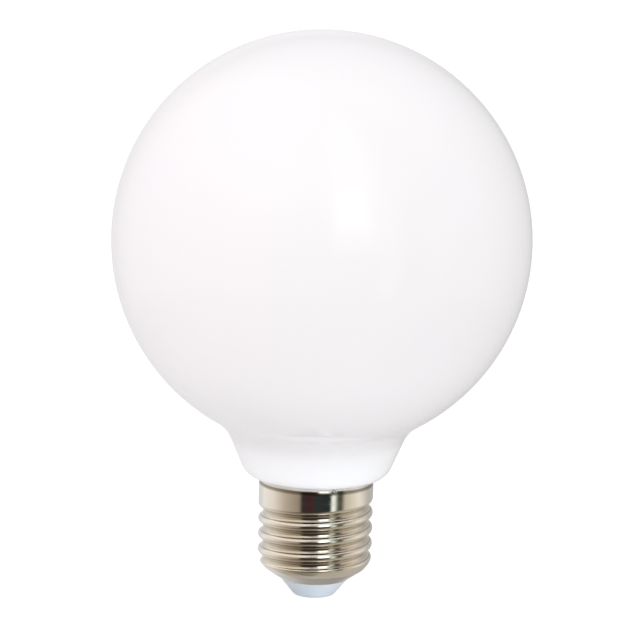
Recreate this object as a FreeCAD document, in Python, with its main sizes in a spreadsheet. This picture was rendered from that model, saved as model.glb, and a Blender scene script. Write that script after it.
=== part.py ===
"""Opal globe bulb with a rolled screw cap.

Frame: origin at the tip of the centre contact, +Z up the bulb's axis from the cap to the globe,
-Y towards the front and +X to the right. Millimetres and degrees.
"""
import FreeCAD, Part
import math
import os
import Sketcher

V = FreeCAD.Vector
WHOLE_TURN = 360
STANDING = "standing"
HOLLOW = "hollow"

# Driving sizes: alias, value, what it is.
SIZES = [
    ("globe_diameter", 95, "outside of the opal globe"),
    ("globe_lift", 7.1, "globe's lowest point above the cap's rim"),
    ("neck_fillet", 9.3, "hollow round between globe and neck"),
    ("neck_taper", 23.1, "neck wall's angle from the axis"),
    ("foot_overhang", 2.82, "neck wall outside the collar, where it would reach the rim"),
    ("bowl_land", 0.08, "what the round at the neck's foot stays outside the curled rim"),
    ("stub_depth", 8, "glass stub that is cemented into the cap"),
    ("cement_gap", 0.2, "cement between the stub and the cap's bore"),
    ("cap_length", 27.8, "contact's tip to the cap's rim"),
    ("collar_diameter", 26.25, "plain collar and crests of the thread"),
    ("sheet_thickness", 0.3, "nickelled sheet of the cap"),
    ("collar_depth", 3.2, "thin plain wall above the thread, from the rim"),
    ("lip_height", 1.35, "curled rim of the collar"),
    ("lip_inset", 0.45, "how far the rim curls in"),
    ("thread_pitch", 3.629, "seven turns to the inch"),
    ("thread_depth", 1.08, "crest to root, measured on the radius"),
    ("crest_land", 0.4, "plain width that is left along the crest"),
    ("groove_drop", 5.98, "groove's middle below the rim where it reaches its full depth"),
    ("groove_angle", 15, "where it does so, counted from +X"),
    ("groove_overrun", 2.8, "how far the groove goes on below the top of the cone"),
    ("run_out_angle", 60, "turn over which the groove rises out of the collar"),
    ("cone_angle", 55.4, "conical end's angle from the axis"),
    ("cone_round", 4.5, "round between the thread and the conical end"),
    ("cone_width", 5.275, "collar's outside to the edge of the cone's hole, on the radius"),
    ("hole_level", 4.2, "hole's edge above the contact's tip"),
    ("hole_round", 0.15, "edge of that hole"),
    ("contact_proud", 0.3, "contact's tip below the insulator's face"),
    ("face_diameter", 9.3, "insulator's end face"),
    ("face_round", 0.9, "round at the edge of that face"),
    ("flange_gap", 2.25, "insulator's flange to the cap's bore"),
    ("flange_level", 9, "top of that flange above the contact's tip"),
    ("fit_gap", 0.05, "round the insulator in the hole and the contact in the insulator"),
    ("head_diameter", 5.2, "contact's head"),
    ("head_flat", 3, "flat on the contact's tip"),
    ("head_recess", 0.5, "depth of the head's seat in the insulator"),
    ("shank_diameter", 1.8, "contact's shank"),
    ("contact_length", 10.5, "contact from tip to end"),
    ("shank_bevel", 0.4, "bevel at the shank's end"),
    ("solder_angle", -71.6, "solder spot on the rim, counted from +X"),
    ("solder_drop", 0.7, "its middle below the rim"),
    ("solder_width", 1.3, "its size round the collar"),
    ("solder_height", 0.9, "its size along the axis"),
    ("solder_depth", 0.7, "its size on the radius before the collar takes its share"),
    ("solder_inset", 0.1, "its middle inside the collar's outside"),
]

# Sizes worked out from the ones above: alias, formula, what it is.
DERIVED = [
    ("ball_radius", "=globe_diameter / 2", "globe"),
    ("globe_rise", "=globe_lift + ball_radius", "globe's centre above the rim"),
    ("ball_level", "=cap_length + globe_rise", "globe's centre"),
    ("collar_radius", "=collar_diameter / 2", "outside of collar and crests"),
    ("neck_slope", "=tan(neck_taper * 1deg)", "neck wall's radius gained per height"),
    ("neck_foot", "=collar_radius + foot_overhang", "neck wall's radius at the rim"),
    ("bowl_round", "=(foot_overhang + lip_inset - bowl_land) * tan((90 + neck_taper) / 2 * 1deg)",
     "round at the foot of the neck, from the wall in to the curled rim"),
    ("neck_reach", "=(neck_slope * globe_rise + neck_foot) * cos(neck_taper * 1deg)",
     "globe's centre to the neck wall's line"),
    ("neck_rise", "=globe_rise - neck_reach * sin(neck_taper * 1deg)"
     " - cos(neck_taper * 1deg) * sqrt(ball_radius^2 - neck_reach^2)",
     "where wall and globe cross, above the rim"),
    ("root_radius", "=collar_radius - thread_depth", "bottom of the thread"),
    ("bore_radius", "=root_radius - sheet_thickness", "inside of the threaded wall"),
    ("stub_radius", "=bore_radius - cement_gap", "glass stub"),
    ("lip_radius", "=(lip_height^2 + lip_inset^2) / (2 * lip_inset)", "curl of the rim"),
    ("lip_foot", "=cap_length - lip_height", "where the rim starts to curl"),
    ("lip_turn", "=asin(lip_height / lip_radius)", "angle that the curl covers"),
    ("hole_radius", "=collar_radius - cone_width", "hole in the conical end"),
    ("cone_slope", "=tan(cone_angle * 1deg)", "cone's radius gained per height"),
    ("cone_top", "=hole_level + (collar_radius - hole_radius) / cone_slope",
     "where cone and collar cross"),
    ("seat_level", "=hole_level + sheet_thickness / sin(cone_angle * 1deg)",
     "inside of the cone at the hole"),
    ("flange_radius", "=bore_radius - flange_gap", "insulator's flange inside the cap"),
    ("thread_round", "=thread_depth / 4 + thread_pitch^2 / (16 * thread_depth)",
     "radius of the thread's rounds, which meet halfway down the flank"),
    ("flank_angle", "=asin(thread_pitch / 4 / thread_round)", "slope where the rounds meet"),
    ("groove_level", "=cap_length - groove_drop", "groove's middle where it is at full depth"),
    ("groove_turns", "=(groove_level - cone_top + groove_overrun) / thread_pitch",
     "full groove, from there down and out of the cone"),
    ("recess_level", "=contact_proud + head_recess", "floor of the head's seat"),
    ("head_round", "=((head_diameter - head_flat)^2 / 4 + contact_proud^2) / (2 * contact_proud)",
     "curve of the contact's head"),
]


def make_sheet(doc):
    """Spreadsheet with the driving sizes as plain numbers, then those worked out from them."""
    sheet = doc.addObject("Spreadsheet::Sheet", "Sizes")
    for row, (alias, value, note) in enumerate(SIZES + DERIVED, start=1):
        sheet.set(f"A{row}", alias)
        sheet.set(f"B{row}", str(value))
        sheet.set(f"C{row}", note)
        sheet.setAlias(f"B{row}", alias)
    doc.recompute()
    return sheet


def plain(sheet, formula):
    """Number that a formula of the sheet's sizes gives."""
    result = sheet.evalExpression(formula)
    return float(getattr(result, "Value", result))


def arc_between(start, end, radius):
    """Counter-clockwise arc of that radius from start to end, the shorter way round."""
    chord = end.sub(start)
    inward = V(-chord.y, chord.x, 0).normalize()
    reach = math.sqrt(radius ** 2 - (chord.Length / 2) ** 2)
    centre = start.add(end).multiply(0.5).add(inward.multiply(reach))
    first = math.atan2(start.y - centre.y, start.x - centre.x)
    last = math.atan2(end.y - centre.y, end.x - centre.x)
    return Part.ArcOfCircle(Part.Circle(centre, V(0, 0, 1), radius), first, last)


def pin(sketch, sheet, geometry, point, axis, formula):
    """Ties one coordinate of a sketch point to its formula, or to the axis where that is 0."""
    if formula == "0":
        line = -2 if axis == "X" else -1
        sketch.addConstraint(Sketcher.Constraint("PointOnObject", geometry, point, line))
        return
    place = plain(sheet, formula)
    index = sketch.addConstraint(
        Sketcher.Constraint("Distance" + axis, -1, 1, geometry, point, place))
    sketch.setExpression(f"Constraints[{index}]", formula)


def draw(body, sheet, name, corners):
    """Sketch on the body's XZ plane through the corners, x the radius and y the height.

    A corner is two formulas. One that ends an arc also has the arc's radius, and STANDING or
    HOLLOW for an arc that runs counter-clockwise or clockwise.
    """
    sketch = body.newObject("Sketcher::SketchObject", name)
    plane = next(f for f in body.Origin.OriginFeatures if f.Role == "XZ_Plane")
    sketch.AttachmentSupport = [(plane, "")]
    sketch.MapMode = "FlatFace"
    places = [V(plain(sheet, c[0]), plain(sheet, c[1]), 0) for c in corners]
    tips = []
    for index, place in enumerate(places):
        following = (index + 1) % len(places)
        target = places[following]
        if len(corners[following]) == 2:
            sketch.addGeometry(Part.LineSegment(place, target))
            tips.append((1, 2))
            continue
        radius = plain(sheet, corners[following][2])
        if corners[following][3] == STANDING:
            sketch.addGeometry(arc_between(place, target, radius))
            tips.append((1, 2))
        else:
            sketch.addGeometry(arc_between(target, place, radius))
            tips.append((2, 1))
    for index, corner in enumerate(corners):
        following = (index + 1) % len(corners)
        sketch.addConstraint(Sketcher.Constraint(
            "Coincident", index, tips[index][1], following, tips[following][0]))
        pin(sketch, sheet, index, tips[index][0], "X", corner[0])
        pin(sketch, sheet, index, tips[index][0], "Y", corner[1])
        if len(corners[following]) > 2:
            formula = corners[following][2]
            number = sketch.addConstraint(
                Sketcher.Constraint("Radius", index, plain(sheet, formula)))
            sketch.setExpression(f"Constraints[{number}]", formula)
    return sketch


def turn(body, kind, name, sketch):
    """Revolves a sketch round the bulb's axis, to add (Revolution) or to cut (Groove)."""
    turned = body.newObject("PartDesign::" + kind, name)
    turned.Profile = sketch
    turned.ReferenceAxis = (sketch, ["V_Axis"])
    turned.Angle = WHOLE_TURN
    sketch.Visibility = False
    body.Document.recompute()
    return turned


def round_ring(body, sheet, name, size, radius, level):
    """Rounds the ring edge of a body that lies nearest to that radius and level."""
    base = body.Tip
    radius = plain(sheet, radius)
    level = plain(sheet, level)

    def distance(index):
        start = base.Shape.Edges[index].Vertexes[0].Point
        return math.hypot(math.hypot(start.x, start.y) - radius, start.z - level)

    rings = [k for k, e in enumerate(base.Shape.Edges) if e.isClosed() and not e.Degenerated]
    fillet = body.newObject("PartDesign::Fillet", name)
    fillet.Base = (base, [f"Edge{min(rings, key=distance) + 1}"])
    fillet.setExpression("Radius", size)
    body.Document.recompute()


def make_globe(doc, sheet):
    """Sealed opal envelope: globe, neck and the stub that is cemented into the cap."""
    body = doc.addObject("PartDesign::Body", "globe")
    foot = "Sizes.cap_length - Sizes.stub_depth"
    crossing = ("Sizes.neck_foot + Sizes.neck_slope * Sizes.neck_rise",
                "Sizes.cap_length + Sizes.neck_rise")
    sketch = draw(body, sheet, "globe_outline", [
        ("0", foot),
        ("Sizes.stub_radius", foot),
        ("Sizes.stub_radius", "Sizes.cap_length"),
        ("Sizes.neck_foot", "Sizes.cap_length"),
        crossing,
        ("0", "Sizes.ball_level + Sizes.ball_radius", "Sizes.ball_radius", STANDING),
    ])
    turn(body, "Revolution", "globe_turned", sketch)
    round_ring(body, sheet, "neck_rounded", "Sizes.neck_fillet", *crossing)
    round_ring(body, sheet, "bowl_rounded", "Sizes.bowl_round", "Sizes.neck_foot",
               "Sizes.cap_length")
    return body


def groove_corners():
    """Section of the thread's groove: rounds of crest and root drawn as a few chords each."""
    middle = "Sizes.groove_level"
    outside = "Sizes.collar_radius + Sizes.thread_depth"
    edge = "(Sizes.thread_pitch - Sizes.crest_land) / 2"
    root_x = "Sizes.root_radius + Sizes.thread_round * (1 - cos({angle}))"
    root_y = "Sizes.thread_round * sin({angle})"
    crest_x = "Sizes.collar_radius - Sizes.thread_round * (1 - cos({angle}))"
    crest_y = "Sizes.thread_pitch / 2 - Sizes.thread_round * sin({angle})"
    half = "Sizes.flank_angle * 0.55"
    third = "Sizes.flank_angle / 3"
    upper = [
        (outside, edge),
        ("Sizes.collar_radius", edge),
        (crest_x.format(angle=half), crest_y.format(angle=half)),
        (root_x.format(angle="Sizes.flank_angle"), root_y.format(angle="Sizes.flank_angle")),
        (root_x.format(angle=third), root_y.format(angle=third)),
    ]
    above = [(x, f"{middle} + ({y})") for x, y in upper]
    below = [(x, f"{middle} - ({y})") for x, y in reversed(upper)]
    return above + below


def wind(body, name, sketch, turns):
    """Helical cut that takes a sketch round the bulb's axis for so many turns."""
    helix = body.newObject("PartDesign::SubtractiveHelix", name)
    helix.Profile = sketch
    helix.ReferenceAxis = (sketch, ["V_Axis"])
    helix.Mode = "pitch-turns-angle"
    helix.setExpression("Pitch", "Sizes.thread_pitch")
    helix.setExpression("Turns", turns)
    sketch.Visibility = False
    return helix


def make_screw_shell(doc, sheet):
    """Nickelled cap: curled rim, plain collar, rolled thread and conical end, one sheet."""
    body = doc.addObject("PartDesign::Body", "screw_shell")
    bore_foot = "Sizes.seat_level + (Sizes.bore_radius - Sizes.hole_radius) / Sizes.cone_slope"
    lip_centre = "Sizes.collar_radius - Sizes.lip_radius"
    inner_round = "(Sizes.lip_radius - Sizes.sheet_thickness)"
    step = "Sizes.cap_length - Sizes.collar_depth"
    sketch = draw(body, sheet, "shell_outline", [
        ("Sizes.hole_radius", "Sizes.hole_level"),
        ("Sizes.collar_radius", "Sizes.cone_top"),
        ("Sizes.collar_radius", "Sizes.lip_foot"),
        ("Sizes.collar_radius - Sizes.lip_inset", "Sizes.cap_length", "Sizes.lip_radius",
         STANDING),
        (f"{lip_centre} + {inner_round} * cos(Sizes.lip_turn)",
         f"Sizes.lip_foot + {inner_round} * sin(Sizes.lip_turn)"),
        ("Sizes.collar_radius - Sizes.sheet_thickness", "Sizes.lip_foot", inner_round, HOLLOW),
        ("Sizes.collar_radius - Sizes.sheet_thickness", step),
        ("Sizes.bore_radius", step),
        ("Sizes.bore_radius", bore_foot),
        ("Sizes.hole_radius", "Sizes.seat_level"),
    ])
    turn(body, "Revolution", "shell_turned", sketch)
    round_ring(body, sheet, "cone_rounded", "Sizes.cone_round", "Sizes.collar_radius",
               "Sizes.cone_top")
    round_ring(body, sheet, "bore_rounded", "Sizes.cone_round - Sizes.sheet_thickness",
               "Sizes.bore_radius", bore_foot)
    round_ring(body, sheet, "hole_rounded", "Sizes.hole_round", "Sizes.hole_radius",
               "Sizes.hole_level")
    section = draw(body, sheet, "groove_section", groove_corners())
    section.setExpression("AttachmentOffset.Rotation.Axis.x", "0")
    section.setExpression("AttachmentOffset.Rotation.Axis.y", "1")
    section.setExpression("AttachmentOffset.Rotation.Axis.z", "0")
    section.setExpression("AttachmentOffset.Rotation.Angle", "Sizes.groove_angle * 1deg")
    doc.recompute()
    fade = wind(body, "thread_run_out", section, f"Sizes.run_out_angle / {WHOLE_TURN}")
    fade.setExpression("Angle", "atan(Sizes.thread_depth"
                       f" / (Sizes.thread_pitch * Sizes.run_out_angle / {WHOLE_TURN}))")
    doc.recompute()
    thread = wind(body, "thread_rolled", section, "Sizes.groove_turns")
    thread.Reversed = True
    doc.recompute()
    return body


def make_insulator(doc, sheet):
    """Insulator: cone with a rounded face outside, flange inside the cap, bore for the contact."""
    body = doc.addObject("PartDesign::Body", "insulator")
    seat = "Sizes.seat_level + ({radius} - Sizes.hole_radius) / Sizes.cone_slope"
    waist = "Sizes.hole_radius - Sizes.fit_gap"
    flange = "Sizes.flange_radius"
    face = "Sizes.face_diameter / 2"
    recess = "Sizes.head_diameter / 2 + Sizes.fit_gap"
    bore = "Sizes.shank_diameter / 2 + Sizes.fit_gap"
    sketch = draw(body, sheet, "insulator_outline", [
        (bore, "Sizes.recess_level"),
        (recess, "Sizes.recess_level"),
        (recess, "Sizes.contact_proud"),
        (face, "Sizes.contact_proud"),
        (waist, "Sizes.hole_level"),
        (waist, seat.format(radius=waist)),
        (flange, seat.format(radius=flange)),
        (flange, "Sizes.flange_level"),
        (bore, "Sizes.flange_level"),
    ])
    turn(body, "Revolution", "insulator_turned", sketch)
    round_ring(body, sheet, "face_rounded", "Sizes.face_round", face, "Sizes.contact_proud")
    return body


def make_centre_contact(doc, sheet):
    """Contact: rounded head seated in the insulator, and a shank through it."""
    body = doc.addObject("PartDesign::Body", "centre_contact")
    head = "Sizes.head_diameter / 2"
    shank = "Sizes.shank_diameter / 2"
    sketch = draw(body, sheet, "contact_outline", [
        ("0", "0"),
        ("Sizes.head_flat / 2", "0"),
        (head, "Sizes.contact_proud", "Sizes.head_round", STANDING),
        (head, "Sizes.recess_level"),
        (shank, "Sizes.recess_level"),
        (shank, "Sizes.contact_length - Sizes.shank_bevel"),
        (f"{shank} - Sizes.shank_bevel", "Sizes.contact_length"),
        ("0", "Sizes.contact_length"),
    ])
    turn(body, "Revolution", "contact_turned", sketch)
    return body


def make_side_solder(doc, sheet):
    """Solder spot on the rim: a bead, cut to the form of the rim that it lies on."""
    body = doc.addObject("PartDesign::Body", "side_solder")
    bead = body.newObject("PartDesign::AdditiveEllipsoid", "solder_bead")
    bead.setExpression("Radius1", "Sizes.solder_height / 2")
    bead.setExpression("Radius2", "Sizes.solder_depth / 2")
    bead.setExpression("Radius3", "Sizes.solder_width / 2")
    reach = "(Sizes.collar_radius - Sizes.solder_inset)"
    plane = next(f for f in body.Origin.OriginFeatures if f.Role == "XY_Plane")
    bead.AttachmentSupport = [(plane, "")]
    bead.MapMode = "FlatFace"
    bead.setExpression("AttachmentOffset.Base.x", f"{reach} * cos(Sizes.solder_angle * 1deg)")
    bead.setExpression("AttachmentOffset.Base.y", f"{reach} * sin(Sizes.solder_angle * 1deg)")
    bead.setExpression("AttachmentOffset.Base.z", "Sizes.cap_length - Sizes.solder_drop")
    bead.setExpression("AttachmentOffset.Rotation.Angle", "Sizes.solder_angle * 1deg")
    doc.recompute()
    inside = "Sizes.collar_radius - Sizes.solder_depth * 2"
    sketch = draw(body, sheet, "rim_outline", [
        (inside, "Sizes.lip_foot - Sizes.solder_height"),
        ("Sizes.collar_radius", "Sizes.lip_foot - Sizes.solder_height"),
        ("Sizes.collar_radius", "Sizes.lip_foot"),
        ("Sizes.collar_radius - Sizes.lip_inset", "Sizes.cap_length", "Sizes.lip_radius",
         STANDING),
        (inside, "Sizes.cap_length"),
    ])
    turn(body, "Groove", "rim_form", sketch)
    return body


def main():
    """Builds the five pieces, checks them and writes one file for each."""
    doc = FreeCAD.newDocument("GlobeBulb")
    sheet = make_sheet(doc)
    pieces = [
        make_globe(doc, sheet),
        make_screw_shell(doc, sheet),
        make_insulator(doc, sheet),
        make_centre_contact(doc, sheet),
        make_side_solder(doc, sheet),
    ]
    for thing in doc.Objects:
        if "Invalid" in thing.State or "Error" in thing.State:
            raise RuntimeError(f"{thing.Label} did not build: {thing.State}")
    for piece in pieces:
        shape = piece.Shape
        if shape.isNull() or not shape.isValid() or len(shape.Solids) != 1:
            raise RuntimeError(f"{piece.Label} is not one valid solid")
    os.makedirs("parts", exist_ok=True)
    for piece in pieces:
        piece.Shape.exportStep(f"parts/{piece.Label}.step")
        box = piece.Shape.BoundBox
        print(f"{piece.Label}: {piece.Shape.Volume:.1f} mm3, faces {len(piece.Shape.Faces)}, "
              f"z {box.ZMin:.3f} to {box.ZMax:.3f}, x {box.XMin:.3f} to {box.XMax:.3f}")


main()
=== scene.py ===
"""Looks of the opal globe bulb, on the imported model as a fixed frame. Metres."""
import bpy
import math
from mathutils import Matrix, Vector


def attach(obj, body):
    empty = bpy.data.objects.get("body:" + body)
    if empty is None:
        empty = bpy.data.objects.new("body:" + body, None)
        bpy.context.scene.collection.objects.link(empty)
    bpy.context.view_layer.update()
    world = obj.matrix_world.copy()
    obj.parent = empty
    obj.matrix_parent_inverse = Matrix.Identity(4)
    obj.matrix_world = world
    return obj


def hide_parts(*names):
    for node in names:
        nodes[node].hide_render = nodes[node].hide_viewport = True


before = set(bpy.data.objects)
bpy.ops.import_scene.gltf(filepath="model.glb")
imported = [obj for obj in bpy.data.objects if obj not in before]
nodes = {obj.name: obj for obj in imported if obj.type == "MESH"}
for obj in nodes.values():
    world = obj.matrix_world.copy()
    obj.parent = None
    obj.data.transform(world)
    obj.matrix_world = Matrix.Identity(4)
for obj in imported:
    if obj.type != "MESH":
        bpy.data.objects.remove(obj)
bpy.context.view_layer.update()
scene = bpy.context.scene

# Sizes of the cap, as in the part's source, in millimetres and radians. COLLAR, HOLE and all that
# is called a round are radii.
COLLAR = 26.25 / 2
PITCH = 3.629
DEPTH = 1.08
SHEET = 0.3
RIM = 27.8
LIP_HEIGHT = 1.35
LIP_INSET = 0.45
HOLE_LEVEL = 4.2
CONE_WIDTH = 5.275
CONE_ANGLE = math.radians(55.4)
CONE_ROUND = 4.5
GROOVE_DROP = 5.98
GROOVE_ANGLE = math.radians(15)
RUN_OUT = math.radians(60)

# Worked out from them, as there.
HOLE = COLLAR - CONE_WIDTH
CONE_SLOPE = math.tan(CONE_ANGLE)
GROOVE_LEVEL = RIM - GROOVE_DROP
THREAD_ROUND = DEPTH / 4 + PITCH ** 2 / (16 * DEPTH)
LIP_ROUND = (LIP_HEIGHT ** 2 + LIP_INSET ** 2) / (2 * LIP_INSET)
LIP_LEVEL = RIM - LIP_HEIGHT

# What only the looks have: how softly thread and cone cross, the hole's rolled edge as points
# (outwards, upwards) from its corner, the lip's rounded top edge, and the inside, which is set back a
# little more than the sheet. The top edge reaches so far to each side of the sheet's middle, and falls
# back along the lip by a share of half the sheet.
CROSS_SOFTNESS = 0.08
HOLE_EDGE = ((0, 0.4), (0, 0.29), (0.012, 0.21), (0.055, 0.155), (0.13, 0.14), (0.24, 0.165))
TOP_EDGE_ACROSS = 0.4 * SHEET
TOP_EDGE_ALONG = 0.35
INSIDE_BACK = 1.15 * SHEET
INSIDE_LIFT = 0.4 * SHEET
# Nearer to the collar than this, the end isn't softened.
NEAR = 0.001

# Fineness of the shell's mesh: points round the axis, height of a row, first row above the hole,
# room below the lip, rows outside for each row inside, and steps over the lip.
POINTS = 384
ROW = 0.125
FIRST_ROW = 0.25
LAST_ROOM = 0.05
INSIDE_ROWS = 4
LIP_STEPS = 8


# Meshes

def surface(name, rings):
    """Mesh over rings of points round the axis, given in millimetres."""
    verts = [(x / 1000, y / 1000, z / 1000) for ring_points in rings for x, y, z in ring_points]
    faces = []
    for row in range(len(rings) - 1):
        low = row * POINTS
        for col in range(POINTS):
            after = (col + 1) % POINTS
            faces.append((low + col, low + after, low + POINTS + after, low + POINTS + col))
    mesh = bpy.data.meshes.new(name)
    mesh.from_pydata(verts, [], faces)
    mesh.validate()
    mesh.shade_smooth()
    piece = bpy.data.objects.new(name, mesh)
    scene.collection.objects.link(piece)
    return piece


def ring(radius, level):
    """Ring of points. radius is a number or a function of the angle."""
    points = []
    for step in range(POINTS):
        angle = math.tau * step / POINTS
        reach = radius(angle) if callable(radius) else radius
        points.append((reach * math.cos(angle), reach * math.sin(angle), level))
    return points


def groove(height):
    """Depth of the thread below the crests, so far above or below the groove's middle."""
    height = abs(height)
    if height < PITCH / 4:
        return DEPTH - THREAD_ROUND + math.sqrt(THREAD_ROUND ** 2 - height ** 2)
    return THREAD_ROUND - math.sqrt(THREAD_ROUND ** 2 - (PITCH / 2 - height) ** 2)


def thread_radius(angle, level):
    """Outside of collar and thread. The groove deepens smoothly over its run-out."""
    middle = GROOVE_LEVEL + PITCH * (angle - GROOVE_ANGLE) / math.tau
    turns = round((middle - level) / PITCH)
    run = RUN_OUT - (angle - GROOVE_ANGLE) + math.tau * turns
    share = min(max(run / RUN_OUT, 0), 1)
    smooth = share * share * (3 - 2 * share)
    return COLLAR - smooth * groove(level - middle + turns * PITCH)


def end_radius(level):
    """Conical end and the round that joins it to the collar."""
    corner = HOLE_LEVEL + (COLLAR - HOLE) / CONE_SLOPE
    tangent = CONE_ROUND * math.tan(CONE_ANGLE / 2)
    if level >= corner + tangent:
        return COLLAR
    if level <= corner - tangent / math.sqrt(1 + CONE_SLOPE ** 2):
        return HOLE + (level - HOLE_LEVEL) * CONE_SLOPE
    return COLLAR - CONE_ROUND + math.sqrt(CONE_ROUND ** 2 - (corner + tangent - level) ** 2)


def shell_radius(angle, level):
    """The smaller of thread and conical end, softened where they cross."""
    thread = thread_radius(angle, level)
    end = end_radius(level)
    lower = min(thread, end)
    if end >= COLLAR - NEAR:
        return lower
    crossing = math.exp((lower - thread) / CROSS_SOFTNESS) + math.exp((lower - end) / CROSS_SOFTNESS)
    return lower - CROSS_SOFTNESS * math.log(crossing)


def inside_radius(angle, level):
    """Inside of the sheet, which ends at the hole."""
    return max(shell_radius(angle, level) - INSIDE_BACK, HOLE)


def lip_ring(radius, angle):
    """Ring on the curled lip, at an angle above its lower end."""
    return ring(COLLAR - LIP_ROUND + radius * math.cos(angle), LIP_LEVEL + radius * math.sin(angle))


def lip():
    """Rings up the outside of the curled lip, over the sheet's rounded edge and down its inside."""
    top = math.asin(LIP_HEIGHT / LIP_ROUND)
    middle = LIP_ROUND - SHEET / 2
    bulge = SHEET / 2 / middle
    shoulder = top - TOP_EDGE_ALONG * bulge
    places = [(LIP_ROUND, top * step / LIP_STEPS) for step in range(LIP_STEPS)]
    places += [(LIP_ROUND, top - bulge), (middle + TOP_EDGE_ACROSS, shoulder), (middle, top),
               (middle - TOP_EDGE_ACROSS, shoulder)]
    places += [(LIP_ROUND - SHEET, (top - bulge) * step / LIP_STEPS) for step in range(LIP_STEPS, -1, -1)]
    return [lip_ring(radius, angle) for radius, angle in places]


def make_shell():
    """Nickelled cap as one thin sheet: hole's edge, cone, thread, collar, curled lip and inside."""
    first = HOLE_LEVEL + FIRST_ROW
    rows = math.ceil((LIP_LEVEL - LAST_ROOM - first) / ROW)
    outside = [first + ROW * row for row in range(rows)]
    inside = [level + INSIDE_LIFT for level in reversed(outside[::INSIDE_ROWS])]
    edge = [ring(HOLE + out, HOLE_LEVEL + rise) for out, rise in HOLE_EDGE]
    rings = list(edge)
    rings += [ring(lambda angle: shell_radius(angle, level), level) for level in outside]
    rings += lip()
    rings += [ring(lambda angle: inside_radius(angle, level), level) for level in inside]
    rings.append(edge[0])
    return surface("rolled_shell", rings)


# Nodes

def rgba(colour):
    """Colour with full alpha, from three values or one grey value."""
    return (*colour, 1) if isinstance(colour, tuple) else (colour, colour, colour, 1)


class Graph:
    """Nodes of one material or world, with short forms for what repeats."""

    def __init__(self, owner):
        owner.use_nodes = True
        self.nodes = owner.node_tree.nodes
        self.links = owner.node_tree.links

    def feed(self, socket, value):
        """Links an output to a socket, or sets the socket to a plain value."""
        if isinstance(value, bpy.types.NodeSocket):
            self.links.new(value, socket)
        else:
            socket.default_value = rgba(value) if socket.type == "RGBA" else value

    def add(self, kind, *values, **settings):
        """New node with its settings. The values feed its inputs in order."""
        node = self.nodes.new("ShaderNode" + kind)
        for name, setting in settings.items():
            setattr(node, name, setting)
        for socket, value in zip(node.inputs, values):
            self.feed(socket, value)
        return node

    def calculate(self, operation, *values):
        """Result of one Math node on outputs or numbers."""
        return self.add("Math", *values, operation=operation).outputs["Value"]

    def axis(self, kind, name):
        """X, Y or Z of one kind of texture coordinate."""
        coords = self.add("TexCoord").outputs[kind]
        return self.add("SeparateXYZ", coords).outputs[name]

    def mix(self, share, first, second, blend_type="MIX"):
        """Two colours, outputs or plain, mixed by a share."""
        node = self.add("Mix", data_type="RGBA", blend_type=blend_type)
        for name, value in (("Factor", share), ("A", first), ("B", second)):
            self.feed(node.inputs[name], value)
        return node.outputs["Result"]

    def tint(self, share, colour, shade):
        """Colour multiplied by a shade where the share is 1."""
        return self.mix(share, colour, shade, "MULTIPLY")

    def ramp(self, source, stops, curve="LINEAR"):
        """Colour ramp: stops are (place from 0 to 1, colour or grey value)."""
        node = self.add("ValToRGB", source)
        node.color_ramp.interpolation = curve
        elements = node.color_ramp.elements
        while len(elements) < len(stops):
            elements.new(0.5)
        for element, (place, colour) in zip(elements, stops):
            element.position = place
            element.color = rgba(colour)
        return node.outputs["Color"]

    def along(self, length, span, stops, curve="LINEAR"):
        """Ramp over a length in metres: stops are (millimetres up to the span, value)."""
        part = self.calculate("MULTIPLY", length, 1000 / span)
        return self.ramp(part, [(place / span, value) for place, value in stops], curve)

    def noise(self, scale, detail, stretch=(1, 1, 1)):
        """Noise on object coordinates. stretch scales each axis."""
        mapping = self.add("Mapping", self.add("TexCoord").outputs["Object"])
        mapping.inputs["Scale"].default_value = stretch
        texture = self.add("TexNoise", mapping.outputs["Vector"])
        texture.inputs["Scale"].default_value = scale
        texture.inputs["Detail"].default_value = detail
        return texture.outputs["Fac"]

    def grain(self, shader, scale, detail, strength, distance):
        """Fine bumps from noise on a shader's surface."""
        node = self.add("Bump")
        node.inputs["Strength"].default_value = strength
        node.inputs["Distance"].default_value = distance
        self.feed(node.inputs["Height"], self.noise(scale, detail))
        self.feed(shader.inputs["Normal"], node.outputs["Normal"])


# Materials

# What the ramps over a height and over a radius cover, in millimetres.
HEIGHT_SPAN = 100
RADIUS_SPAN = 25


def material(name, metallic=0):
    """New material, its graph and its shader."""
    made = bpy.data.materials.new(name)
    graph = Graph(made)
    shader = graph.nodes["Principled BSDF"]
    shader.inputs["Metallic"].default_value = metallic
    return made, graph, shader


def opal_glass():
    """Opal white, with painted light that makes the bowl above the cap whiter and painted shade that makes
    the hollow of the neck greyer.
    """
    made, graph, shader = material("opal_glass")
    height = graph.axis("Object", "Z")
    # Painted light: the bowl above the cap is whiter and bluer in its colour.
    bowl_painted_light = graph.along(height, HEIGHT_SPAN, [(31.5, 1), (39, 0)], "EASE")
    # Painted shade: the hollow of the neck and the globe's underside above it are greyer in their colour.
    neck_painted_shade = graph.along(height, HEIGHT_SPAN, [(34.5, 0), (38, 1), (41, 1), (58, 0)], "EASE")
    colour = graph.ramp(graph.noise(18, 3), [(0.3, (0.915, 0.905, 0.908)), (0.7, (0.905, 0.908, 0.922))])
    colour = graph.tint(neck_painted_shade, colour, (0.93, 0.93, 0.935))
    colour = graph.mix(bowl_painted_light, colour, (0.955, 0.972, 0.992))
    polish = graph.ramp(graph.noise(60, 4), [(0.3, 0.035), (0.75, 0.06)])
    graph.feed(shader.inputs["Base Color"], colour)
    graph.feed(shader.inputs["Roughness"], polish)
    shader.inputs["IOR"].default_value = 1.45
    shader.inputs["Specular IOR Level"].default_value = 0.4
    graph.grain(shader, 40, 1, 0.03, 0.0002)
    return made


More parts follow.
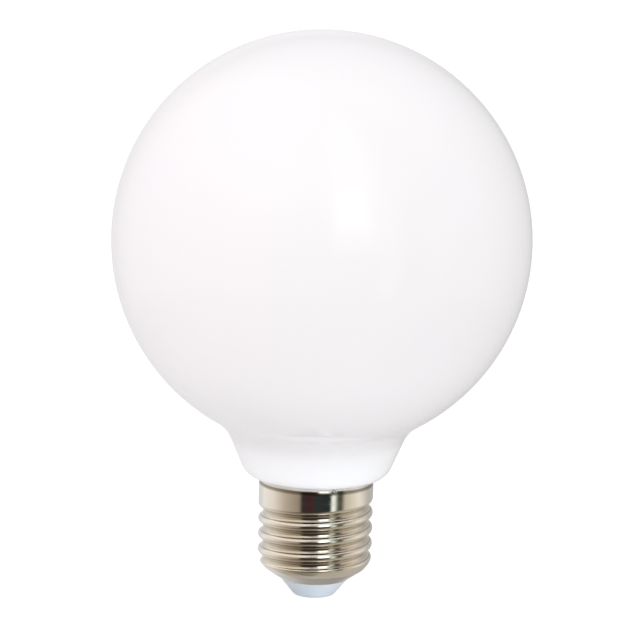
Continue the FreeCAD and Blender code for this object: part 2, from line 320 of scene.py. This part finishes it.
def nickel():
    """Bright plate, with painted shade on the thread's steep flanks, in its grooves and in a line round the
    rim.
    """
    made, graph, shader = material("nickel_plate", metallic=1)
    # Painted shade: darker where the surface faces far up or down, as on the thread's steep flanks.
    steep = graph.calculate("ABSOLUTE", graph.axis("Normal", "Z"))
    flank_painted_shade = graph.ramp(steep, [(0.72, 0), (0.86, 1)], "EASE")
    height = graph.axis("Object", "Z")
    # Painted shade: a dark band round the curled lip, under the glass, which also dims its reflections.
    rim_painted_shade = graph.along(height, HEIGHT_SPAN, [(26.45, 0), (26.6, 1), (27.12, 1), (27.28, 0)])
    above_cone = graph.along(height, HEIGHT_SPAN, [(8.2, 0), (9, 1)])
    across = graph.add("CombineXYZ", graph.axis("Object", "X"), graph.axis("Object", "Y")).outputs["Vector"]
    radius = graph.add("VectorMath", across, operation="LENGTH").outputs["Value"]
    # Painted shade: darker at the bottoms of the grooves, above the cone.
    groove_painted_shade = graph.along(radius, RADIUS_SPAN, [(12.1, 1), (12.5, 0)], "EASE")
    colour = graph.ramp(graph.noise(300, 5), [(0.25, (0.84, 0.805, 0.75)), (0.75, (0.90, 0.87, 0.82))])
    colour = graph.tint(flank_painted_shade, colour, (0.52, 0.49, 0.46))
    colour = graph.tint(rim_painted_shade, colour, (0.30, 0.29, 0.27))
    colour = graph.tint(graph.calculate("MULTIPLY", groove_painted_shade, above_cone), colour, (0.80, 0.77, 0.73))
    polish = graph.ramp(graph.noise(40, 6, stretch=(1, 1, 30)), [(0.3, 0.08), (0.8, 0.15)])
    graph.feed(shader.inputs["Base Color"], colour)
    graph.feed(shader.inputs["Roughness"], polish)
    graph.grain(shader, 260, 3, 0.05, 0.00002)
    return made


def clouded(name, metallic, colour, polish, grain):
    """Material whose colour and roughness wander with noise, under a fine grain.

    colour and polish are (noise scale, detail, ramp stops), grain is what Graph.grain takes.
    """
    made, graph, shader = material(name, metallic)
    for socket, (scale, detail, stops) in (("Base Color", colour), ("Roughness", polish)):
        graph.feed(shader.inputs[socket], graph.ramp(graph.noise(scale, detail), stops))
    graph.grain(shader, *grain)
    return made


def insulator_plastic():
    """Satin blue-grey."""
    return clouded("insulator_plastic", 0,
                   colour=(250, 4, [(0.3, (0.575, 0.63, 0.70)), (0.7, (0.625, 0.68, 0.75))]),
                   polish=(900, 3, [(0.3, 0.28), (0.7, 0.4)]),
                   grain=(1500, 3, 0.08, 0.00004))


def contact_metal():
    """Lightly brushed nickel."""
    return clouded("contact_metal", 1,
                   colour=(700, 4, [(0.3, (0.62, 0.60, 0.56)), (0.7, (0.74, 0.72, 0.68))]),
                   polish=(1200, 4, [(0.3, 0.2), (0.7, 0.36)]),
                   grain=(1600, 4, 0.12, 0.00004))


def solder():
    """Dull grey metal with an uneven skin."""
    return clouded("solder", 1,
                   colour=(2000, 4, [(0.3, (0.42, 0.42, 0.41)), (0.7, (0.60, 0.60, 0.59))]),
                   polish=(2500, 3, [(0.3, 0.3), (0.7, 0.5)]),
                   grain=(1800, 3, 0.3, 0.00006))


shell = make_shell()
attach(shell, "root")
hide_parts("screw_shell")
shell.data.materials.append(nickel())
for node, finish in (("globe", opal_glass()), ("insulator", insulator_plastic()),
                     ("centre_contact", contact_metal()), ("side_solder", solder())):
    for slot in nodes[node].material_slots:
        slot.material = finish


# Floor

# Half of the floor's width and its drop below the contact, which keeps the two apart, in metres.
FLOOR_HALF = 3
FLOOR_DROP = 0.0001
# A patch of light on the floor in front of the cap, which lights the insulator: its place, the
# distances where it starts to fade and where it ends in metres, its strength, colour and the floor's
# own faint glow beyond it.
CARD_PLACE = (0.012, -0.022, 0)
CARD_FULL = 0.012
CARD_END = 0.03
CARD_STRENGTH = 0.7
CARD_COLOUR = (0.88, 0.97, 1.0)
BEYOND_CARD = 0.07
# The floor's paint, the white that the camera sees and its share over the lit floor and shadow.
PAINT = 0.86
WHITE_STRENGTH = 1.2
WHITE_SHARE = 0.72


def floor_white():
    """White to the camera with part of the shadow, and a glow below the cap."""
    made = bpy.data.materials.new("floor_white")
    graph = Graph(made)
    graph.nodes.clear()
    place = graph.add("TexCoord").outputs["Object"]
    reach = graph.add("VectorMath", place, CARD_PLACE, operation="DISTANCE").outputs["Value"]
    card = graph.ramp(reach, [(CARD_FULL, CARD_COLOUR), (CARD_END, BEYOND_CARD)], "EASE")
    paint = graph.add("BsdfDiffuse", PAINT).outputs[0]
    glow = graph.add("Emission", card, CARD_STRENGTH).outputs[0]
    white = graph.add("Emission", 1, WHITE_STRENGTH).outputs[0]
    lit = graph.add("AddShader", paint, glow).outputs[0]
    share = graph.calculate("MULTIPLY", graph.add("LightPath").outputs["Is Camera Ray"], WHITE_SHARE)
    shown = graph.add("MixShader", share, lit, white).outputs[0]
    graph.add("OutputMaterial", shown)
    return made


def make_floor():
    """Plain square floor that reflections leave out."""
    mesh = bpy.data.meshes.new("floor")
    corners = [(x * FLOOR_HALF, y * FLOOR_HALF, 0) for x, y in ((-1, -1), (1, -1), (1, 1), (-1, 1))]
    mesh.from_pydata(corners, [], [(0, 1, 2, 3)])
    mesh.materials.append(floor_white())
    floor = bpy.data.objects.new("floor", mesh)
    scene.collection.objects.link(floor)
    floor.location.z = -FLOOR_DROP
    floor.visible_glossy = False


# Studio

# It is what the glass and the metal reflect. Angles are in degrees: an azimuth of 0 is the viewer's
# side and more is to the right, a height of 0 is level.

# Colours round the bulb in four bands, as (azimuth, colour). The darkest stretches of each lie on
# the viewer's side.
UNDER = (
    (-180, (0.50, 0.47, 0.43)),
    (-100, (0.42, 0.38, 0.32)),
    (-60, (0.24, 0.20, 0.15)),
    (-5, (0.30, 0.26, 0.20)),
    (35, (0.48, 0.43, 0.34)),
    (100, (0.48, 0.44, 0.37)),
    (180, (0.50, 0.47, 0.43)),
)
BELOW = (
    (-180, 0.80),
    (-110, (0.66, 0.61, 0.53)),
    (-70, (0.36, 0.30, 0.23)),
    (-41, (0.18, 0.14, 0.10)),
    (-22, (0.05, 0.04, 0.03)),
    (8, (0.05, 0.045, 0.035)),
    (49, (0.36, 0.31, 0.23)),
    (95, (0.56, 0.50, 0.41)),
    (166, (0.46, 0.44, 0.41)),
    (180, 0.80),
)
LEVEL = (
    (-180, 0.84),
    (-150, (0.72, 0.71, 0.70)),
    (-125, (0.92, 0.90, 0.86)),
    (-95, (0.84, 0.78, 0.70)),
    (-62, (0.50, 0.42, 0.34)),
    (-34, (0.33, 0.27, 0.21)),
    (-27, (0.035, 0.03, 0.03)),
    (-9, (0.06, 0.02, 0.02)),
    (0, (0.03, 0.035, 0.035)),
    (29, (0.02, 0.03, 0.028)),
    (35, (0.62, 0.72, 0.60)),
    (40, (0.52, 0.60, 0.50)),
    (46, (0.10, 0.10, 0.08)),
    (53, (0.08, 0.08, 0.06)),
    (62, (0.62, 0.56, 0.45)),
    (98, (0.88, 0.83, 0.74)),
    (130, (0.52, 0.50, 0.47)),
    (166, (0.50, 0.50, 0.49)),
    (180, 0.84),
)
ABOVE = (
    (-180, 0.46),
    (-158, (0.50, 0.49, 0.47)),
    (-131, (0.98, 0.94, 0.87)),
    (-68, (0.88, 0.80, 0.66)),
    (-28, (0.86, 0.78, 0.61)),
    (-10, (0.44, 0.40, 0.32)),
    (0, (0.62, 0.58, 0.48)),
    (32, (0.80, 0.77, 0.66)),
    (44, (0.22, 0.20, 0.14)),
    (66, (0.20, 0.17, 0.12)),
    (95, (0.72, 0.65, 0.54)),
    (150, (0.50, 0.48, 0.45)),
    (180, 0.46),
)
# Heights between which each band takes over from the one before it, upwards from UNDER.
BANDS = ((-60, -42, BELOW), (-24, -18, LEVEL), (14, 30, ABOVE))

# Bright patches: left, right, foot, top, width of the soft edge, colour. The first three overlap as
# one window, brightest in its middle, and the last is a small card at the lower right.
WINDOWS = (
    (3, 33, 0, 22, 6, (1.1, 1.08, 1.0)),
    (2, 34, 8, 75, 8, (1.35, 1.32, 1.2)),
    (6, 28, 12, 37, 4, (2.6, 2.55, 2.4)),
    (30, 42, -22, -11, 4, (1.2, 1.2, 1.1)),
)

# Even light for all that isn't a reflection: its colour and its strength.
SOFT_COLOUR = (1.0, 0.975, 0.99)
SOFT_STRENGTH = 0.925


def around(degrees):
    """Place of an azimuth on a ramp."""
    return 0.5 + degrees / 360


def upwards(degrees):
    """Place of a height on a ramp."""
    return 0.5 + degrees / 180


def patch(place, low, high, edge):
    """Stops of a ramp that is 1 between two angles, with soft edges. place turns degrees to a place."""
    return [(place(low), 0), (place(low + edge), 1), (place(high - edge), 1), (place(high), 0)]


def studio_colour(graph):
    """Colour of the studio in each direction, from the bands and the windows."""
    towards = graph.calculate("MULTIPLY", graph.axis("Generated", "Y"), -1)
    turn = graph.calculate("ARCTAN2", graph.axis("Generated", "X"), towards)
    tilt = graph.calculate("ARCSINE", graph.axis("Generated", "Z"))
    azimuth = graph.calculate("ADD", graph.calculate("DIVIDE", turn, math.tau), 0.5)
    height = graph.calculate("ADD", graph.calculate("DIVIDE", tilt, math.pi), 0.5)

    def band(stops):
        return graph.ramp(azimuth, [(around(degrees), colour) for degrees, colour in stops])

    studio = band(UNDER)
    for start, end, stops in BANDS:
        rise = graph.ramp(height, [(upwards(start), 0), (upwards(end), 1)], "EASE")
        studio = graph.mix(rise, studio, band(stops))
    for left, right, foot, top, edge, colour in WINDOWS:
        across = graph.ramp(azimuth, patch(around, left, right, edge))
        upright = graph.ramp(height, patch(upwards, foot, top, edge))
        studio = graph.mix(graph.calculate("MULTIPLY", across, upright), studio, colour)
    return studio


def make_world():
    """White to the camera, the studio to reflections, and a soft even light to all else."""
    world = bpy.data.worlds.new("studio")
    scene.world = world
    graph = Graph(world)
    graph.nodes.clear()
    rays = graph.add("LightPath")
    seen = graph.add("Background", studio_colour(graph)).outputs[0]
    soft = graph.add("Background", SOFT_COLOUR, SOFT_STRENGTH).outputs[0]
    white = graph.add("Background", 1).outputs[0]
    lit = graph.add("MixShader", rays.outputs["Is Glossy Ray"], soft, seen).outputs[0]
    shown = graph.add("MixShader", rays.outputs["Is Camera Ray"], lit, white).outputs[0]
    graph.add("OutputWorld", shown)


# Lamps and camera

# Height that the lamps face, distance and width of each, in metres. Then for each lamp its name,
# azimuth, elevation, power and colour. The colours together give the glass its faint tints.
LAMP_AIM = 0.07
LAMP_DISTANCE = 0.9
LAMP_WIDTH = 0.7
LAMPS = (
    ("key", -38, 48, 0.8, (1.0, 0.6, 0.7)),
    ("front", 5, 24, 0.75, (0.82, 1.0, 0.93)),
    ("top", -20, 75, 0.6, (0.75, 1.0, 0.95)),
)

# Camera: height that it turns about and distance in metres, sensor and lens in millimetres. It
# stands a little above the bulb, leans as the photograph does and points a little lower.
VIEW_HEIGHT = 0.065
VIEW_DISTANCE = 0.65
VIEW_SENSOR = 36
VIEW_LENS = 161.2
VIEW_ELEVATION = math.radians(9.8)
VIEW_LEAN = math.radians(1.35)
VIEW_DIP = math.radians(-0.07)


def lamp(name, azimuth, elevation, power, colour):
    """Square soft lamp that faces the globe and isn't reflected."""
    light = bpy.data.lights.new(name, "AREA")
    light.size = LAMP_WIDTH
    light.energy = power
    light.color = colour
    holder = bpy.data.objects.new(name, light)
    scene.collection.objects.link(holder)
    turn, rise = math.radians(azimuth), math.radians(elevation)
    outwards = Vector((math.sin(turn) * math.cos(rise), -math.cos(turn) * math.cos(rise), math.sin(rise)))
    holder.location = Vector((0, 0, LAMP_AIM)) + outwards * LAMP_DISTANCE
    holder.rotation_euler = outwards.to_track_quat("Z", "Y").to_euler()
    holder.visible_glossy = False


def make_camera():
    """The photograph's view through a long lens."""
    data = bpy.data.cameras.new("photo_view")
    data.sensor_width = VIEW_SENSOR
    data.lens = VIEW_LENS
    camera = bpy.data.objects.new("photo_view", data)
    scene.collection.objects.link(camera)
    back = Vector((0, -math.cos(VIEW_ELEVATION), math.sin(VIEW_ELEVATION)))
    place = Matrix.Translation(Vector((0, 0, VIEW_HEIGHT)) + back * VIEW_DISTANCE)
    turn = back.to_track_quat("Z", "Y").to_matrix().to_4x4()
    dip = Matrix.Rotation(VIEW_DIP, 4, "X")
    lean = Matrix.Rotation(VIEW_LEAN, 4, "Z")
    camera.matrix_world = place @ turn @ dip @ lean
    scene.camera = camera


make_floor()
make_world()
for settings in LAMPS:
    lamp(*settings)
make_camera()
scene.view_settings.view_transform = "Standard"
